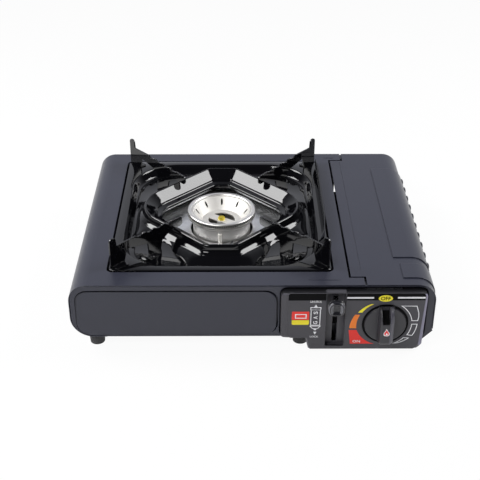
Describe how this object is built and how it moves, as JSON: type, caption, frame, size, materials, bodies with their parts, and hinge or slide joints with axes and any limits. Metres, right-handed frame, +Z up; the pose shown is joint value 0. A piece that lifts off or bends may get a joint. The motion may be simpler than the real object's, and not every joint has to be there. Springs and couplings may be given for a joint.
{
  "type": "butane cassette stove",
  "caption": "Portable cassette stove: pressed casing with a lift-off drip pan and pot supports, hinged cartridge lid, locking lever and a valve knob.",
  "frame": {"origin": "middle of the whole stove, front to back and left to right, on the table under its feet", "axes": "+X to the right seen from the front, +Y from the control panel to the back, +Z up"},
  "size_m": [0.3474, 0.2964, 0.104],
  "materials": {
    "painted_steel": "satin dark slate-grey paint",
    "black_enamel": "gloss black vitreous enamel",
    "black_plastic": "fine-textured black moulding",
    "knob_plastic": "satin black moulding",
    "rubber": "moulded rubber",
    "galvanised": "bright galvanised sheet",
    "zinc_steel": "zinc-plated steel",
    "burner_aluminium": "bead-blasted die casting",
    "polished_aluminium": "bright turned face",
    "brass": "turned brass",
    "zinc_casting": "die-cast zinc",
    "ceramic": "glazed white ceramic",
    "igniter_plastic": "black moulding"
  },
  "bodies": {
    "casing": {"base_plate": "galvanised", "bay_floor": "galvanised", "burner_body": "burner_aluminium", "burner_bowl": "polished_aluminium", "burner_bracket": "zinc_steel", "burner_head": "polished_aluminium", "burner_screw": "brass", "burner_tray": "galvanised", "cartridge_cradle": "galvanised", "casing_shell": "painted_steel", "control_panel": "black_plastic", "electrode_bracket": "zinc_steel", "electrode_insulator": "ceramic", "foot_front_left": "rubber", "foot_front_right": "rubber", "foot_rear_left": "rubber", "foot_rear_right": "rubber", "foot_screws": "zinc_steel", "fork_studs": "zinc_steel", "front_panel": "painted_steel", "gas_nozzle": "brass", "hinge_bracket_front": "zinc_steel", "hinge_bracket_rear": "zinc_steel", "ignition_electrode": "zinc_steel", "lever_pivot": "zinc_steel", "lid_hinge_pins": "zinc_steel", "panel_screws": "zinc_steel", "partition_plate": "galvanised", "piezo_igniter": "igniter_plastic", "rear_panel": "painted_steel", "regulator_body": "zinc_casting", "regulator_bracket": "zinc_steel", "regulator_cap": "zinc_casting", "regulator_screws": "zinc_steel"},
    "drip_pan": {"drip_pan": "black_enamel", "heat_guard": "black_enamel", "pan_support_front_left": "black_enamel", "pan_support_front_right": "black_enamel", "pan_support_rear_left": "black_enamel", "pan_support_rear_right": "black_enamel", "support_rivets": "black_enamel"},
    "cartridge_lid": {"cartridge_lid": "painted_steel"},
    "lock_lever": {"lock_lever": "zinc_steel", "lever_knob": "knob_plastic"},
    "cartridge_fork": {"cartridge_fork": "zinc_steel"},
    "valve": {"control_knob": "knob_plastic", "valve_spindle": "zinc_steel", "ignition_cam": "igniter_plastic"},
    "igniter_plunger": {"piezo_plunger": "igniter_plastic"}
  },
  "joints": [
    {"name": "pan_lift", "type": "slide", "parent": "casing", "child": "drip_pan", "axis": [0, 0, 1], "range_m": [0, 0.06]},
    {"name": "lid_hinge", "type": "hinge", "parent": "casing", "child": "cartridge_lid", "pos_m": [0.09565, 0, 0.0675], "axis": [0, -1, 0], "range_deg": [0, 100]},
    {"name": "lever_pivot", "type": "hinge", "parent": "casing", "child": "lock_lever", "pos_m": [0.0768, -0.08125, 0.046], "axis": [1, 0, 0], "range_deg": [0, 28.14]},
    {"name": "fork_slide", "type": "slide", "parent": "casing", "child": "cartridge_fork", "axis": [0, -1, 0], "range_m": [0, 0.00566]},
    {"name": "knob_turn", "type": "hinge", "parent": "casing", "child": "valve", "pos_m": [0.12385, 0, 0.0337], "axis": [0, -1, 0], "range_deg": [0, 120]},
    {"name": "plunger_slide", "type": "slide", "parent": "casing", "child": "igniter_plunger", "axis": [1, 0, 0], "range_m": [0, 0.004]}
  ],
  "couplings": [
    {"joint": "fork_slide", "follows": "lever_pivot", "m_per_rad": 0.011523},
    {"joint": "plunger_slide", "follows": "knob_turn", "m_per_rad": 0.0019098}
  ]
}
